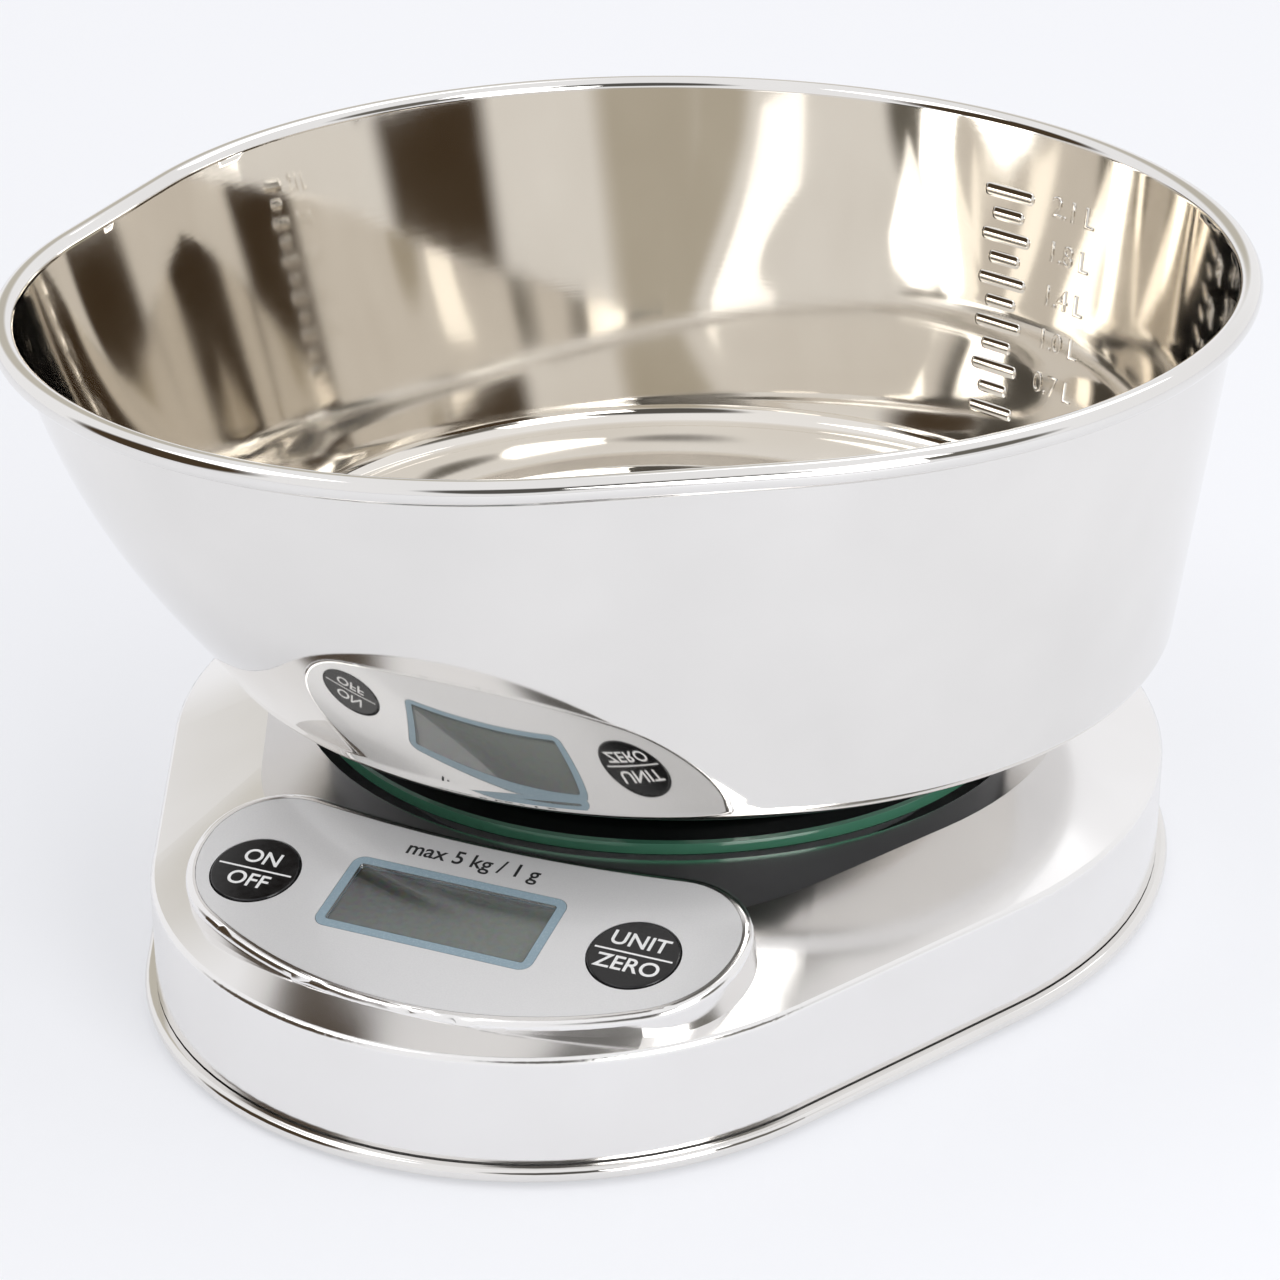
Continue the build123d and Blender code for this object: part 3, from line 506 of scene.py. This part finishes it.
# raised marks and litre numbers on the inside wall, opposite the lip
markShape = {"turn": 70.5, "low": 64.5, "pitch": 4.9, "count": 11, "long": 12.0, "short": 7.5, "proud": 0.5,
             "endRound": 0.5, "steps": 40, "sharp": 60, "radius": 105.0, "numberTurn": 60.7,
             "numberSize": 6.4, "numberThick": 0.1, "numberRound": 0.25,
             "numbers": {2: "0.7 L", 4: "1.0 L", 6: "1.4 L", 8: "1.8 L", 10: "2.1 L"}}
# loops of a rib from inside the sheet to its crest: growth of the ends, half width, share of the height
ribLoops = [(0.7, 1.5, -0.7), (0.7, 1.5, -0.04), (0.45, 1.15, 0.32), (0.2, 0.8, 0.72), (-0.05, 0.42, 0.94),
            (-0.3, 0.12, 1.0)]


# a point of the inside wall on the far side, where the outlines are circles
def onWall(angle, z, lift):
    radius, shift = bowlCircle((z - bowlShape["low"]) / bowlShape["tall"])
    return (shift + direction(angle) * (radius - bowlShape["sheet"] - lift)).to_3d() + Vector((0, 0, z))


# rounded rib: long ovals, one above the other
def wallMark(name, angle, z, long):
    m = markShape
    straight = long / 2 - m["endRound"]
    rows = []
    for growth, half, height in ribLoops:
        row = []
        for k in range(m["steps"]):
            a = 2 * math.pi * k / m["steps"]
            x = math.copysign(straight, math.cos(a)) + (growth + m["endRound"]) * math.cos(a)
            row.append(tuple(onWall(angle - x / m["radius"], z + half * math.sin(a), height * m["proud"])))
        rows.append(row)
    obj = loopMesh(name, rows, m["sharp"])
    dress(obj, innerSteel)
    return obj


for k in range(markShape["count"]):
    level = markShape["low"] + k * markShape["pitch"]
    long = markShape["short" if k % 2 else "long"]
    mark = wallMark("mark_%02d" % (k + 1), math.radians(markShape["turn"]), level, long)
    carry(mark, "bowl_set")
    if k in markShape["numbers"]:
        facing = math.radians(markShape["numberTurn"])
        thick = markShape["numberThick"]
        number = letters("number_%02d" % (k + 1), markShape["numbers"][k], markShape["numberSize"],
                         lambda x, y, z: onWall(facing - x / markShape["radius"], level + y, z + thick),
                         thick, markShape["numberRound"], innerSteel)
        carry(number, "bowl_set")
print("letters built")

# floor of seamless white paper: matt, no pattern to see
floorShape = {"half": 6.0, "colour": "#bcbdc0", "seen": "#f8f9fd", "glow": 0.43}
half = floorShape["half"]
floorMesh = bpy.data.meshes.new("studioFloor")
floorCorners = [(-half, -half, 0), (half, -half, 0), (half, half, 0), (-half, half, 0)]
floorMesh.from_pydata(floorCorners, [], [(0, 1, 2, 3)])
floor = addObject("studioFloor", floorMesh)
floorPaper, floorTree, floorShader = newMaterial(
    "seamlessPaperWhite", {"Base Color": toLinear(floorShape["colour"]), "Roughness": 0.8,
                           "Specular IOR Level": 0.1, "Emission Color": toLinear(floorShape["seen"])})
dress(floor, floorPaper)

# the paper reads whiter where the camera, metal or glass sees it, keeps its shadow and throws no more light
rays = addNode(floorTree, "ShaderNodeLightPath")
cameraOrMetal = addNode(floorTree, "ShaderNodeMath", {"operation": "MAXIMUM"},
                        links={0: (rays, "Is Camera Ray"), 1: (rays, "Is Glossy Ray")})
seen = addNode(floorTree, "ShaderNodeMath", {"operation": "MAXIMUM"},
               links={0: (cameraOrMetal, "Value"), 1: (rays, "Is Transmission Ray")})
glow = addNode(floorTree, "ShaderNodeMath", {"operation": "MULTIPLY"}, values={1: floorShape["glow"]},
               links={0: (seen, "Value")})
join(floorTree, floorShader, {"Emission Strength": (glow, "Value")})

# a white room with soft patches for the steel to mirror: colour, direction, cosines where each begins and is full
roomWhite = "#fbfbfd"
roomPatches = {"backWall": ("#c9c4b9", (-0.534, 0.716, 0.45), 0.93, 0.985),
               "leftWall": ("#4a3d2e", (-0.770, -0.558, 0.33), 0.88, 0.95),
               "rightPatch": ("#6f6c66", (0.89, -0.08, 0.42), 0.945, 0.985),
               "frontPatch": ("#5a5855", (0.414, -0.692, 0.55), 0.93, 0.975)}
world = bpy.data.worlds.new("softRoom")
bpy.context.scene.world = world
world.use_nodes = True
roomTree = world.node_tree
background = roomTree.nodes["Background"]
background.inputs["Strength"].default_value = 1.0
ways = addNode(roomTree, "ShaderNodeTexCoord")
roomTone = None
for patchColour, toward, begins, full in roomPatches.values():
    nearness = addNode(roomTree, "ShaderNodeVectorMath", {"operation": "DOT_PRODUCT"},
                       values={1: Vector(toward).normalized()}, links={0: (ways, "Generated")})
    share = addNode(roomTree, "ShaderNodeMapRange", {"interpolation_type": "SMOOTHSTEP"},
                    values={"From Min": begins, "From Max": full}, links={"Value": (nearness, "Value")})
    mixed = addNode(roomTree, "ShaderNodeMix", {"data_type": "RGBA"},
                    values={"A": toLinear(roomWhite), "B": toLinear(patchColour)},
                    links={"Factor": (share, "Result")})
    if roomTone is not None:
        join(roomTree, mixed, {"A": (roomTone, "Result")})
    roomTone = mixed
join(roomTree, background, {"Color": (roomTone, "Result")})

# soft lamps: place in metres, watts, size
lampAim = Vector((0, 0, 0.06))
lampSet = {"keyLamp": ((-0.9, -0.7, 1.6), 3.0, 0.8), "fillLamp": ((1.15, -0.45, 1.3), 2.0, 0.6),
           "backLamp": ((0.1, 1.2, 1.5), 2.0, 0.8), "frontLamp": ((1.1, -0.75, 0.6), 6.0, 0.7)}
for lampName, (place, watts, size) in lampSet.items():
    lampData = bpy.data.lights.new(lampName, "AREA")
    lampData.energy = watts
    lampData.size = size
    lamp = addObject(lampName, lampData)
    lamp.location = place
    lamp.rotation_euler = (lampAim - Vector(place)).to_track_quat("-Z", "Y").to_euler()

# camera at the photograph's angle: place in mm, its own axes, focal length in pixels of the frame
view = {"place": (263.43, -600.08, 363.0), "right": (0.9152, 0.4029, 0.0), "up": (-0.1740, 0.3952, 0.9019),
        "back": (0.3634, -0.8255, 0.4318), "focalPixels": 3584.0, "framePixels": 1280.0, "sensor": 36.0}
cameraData = bpy.data.cameras.new("photoCamera")
cameraData.sensor_width = view["sensor"]
cameraData.sensor_fit = "HORIZONTAL"
cameraData.lens = view["sensor"] * view["focalPixels"] / view["framePixels"]
camera = addObject("photoCamera", cameraData)
viewTurn = Matrix((view["right"], view["up"], view["back"])).transposed().to_4x4()
camera.matrix_world = Matrix.Translation(Vector(view["place"]) * mm) @ viewTurn
bpy.context.scene.camera = camera
bpy.context.scene.view_settings.view_transform = "Standard"
print("stage and camera set")
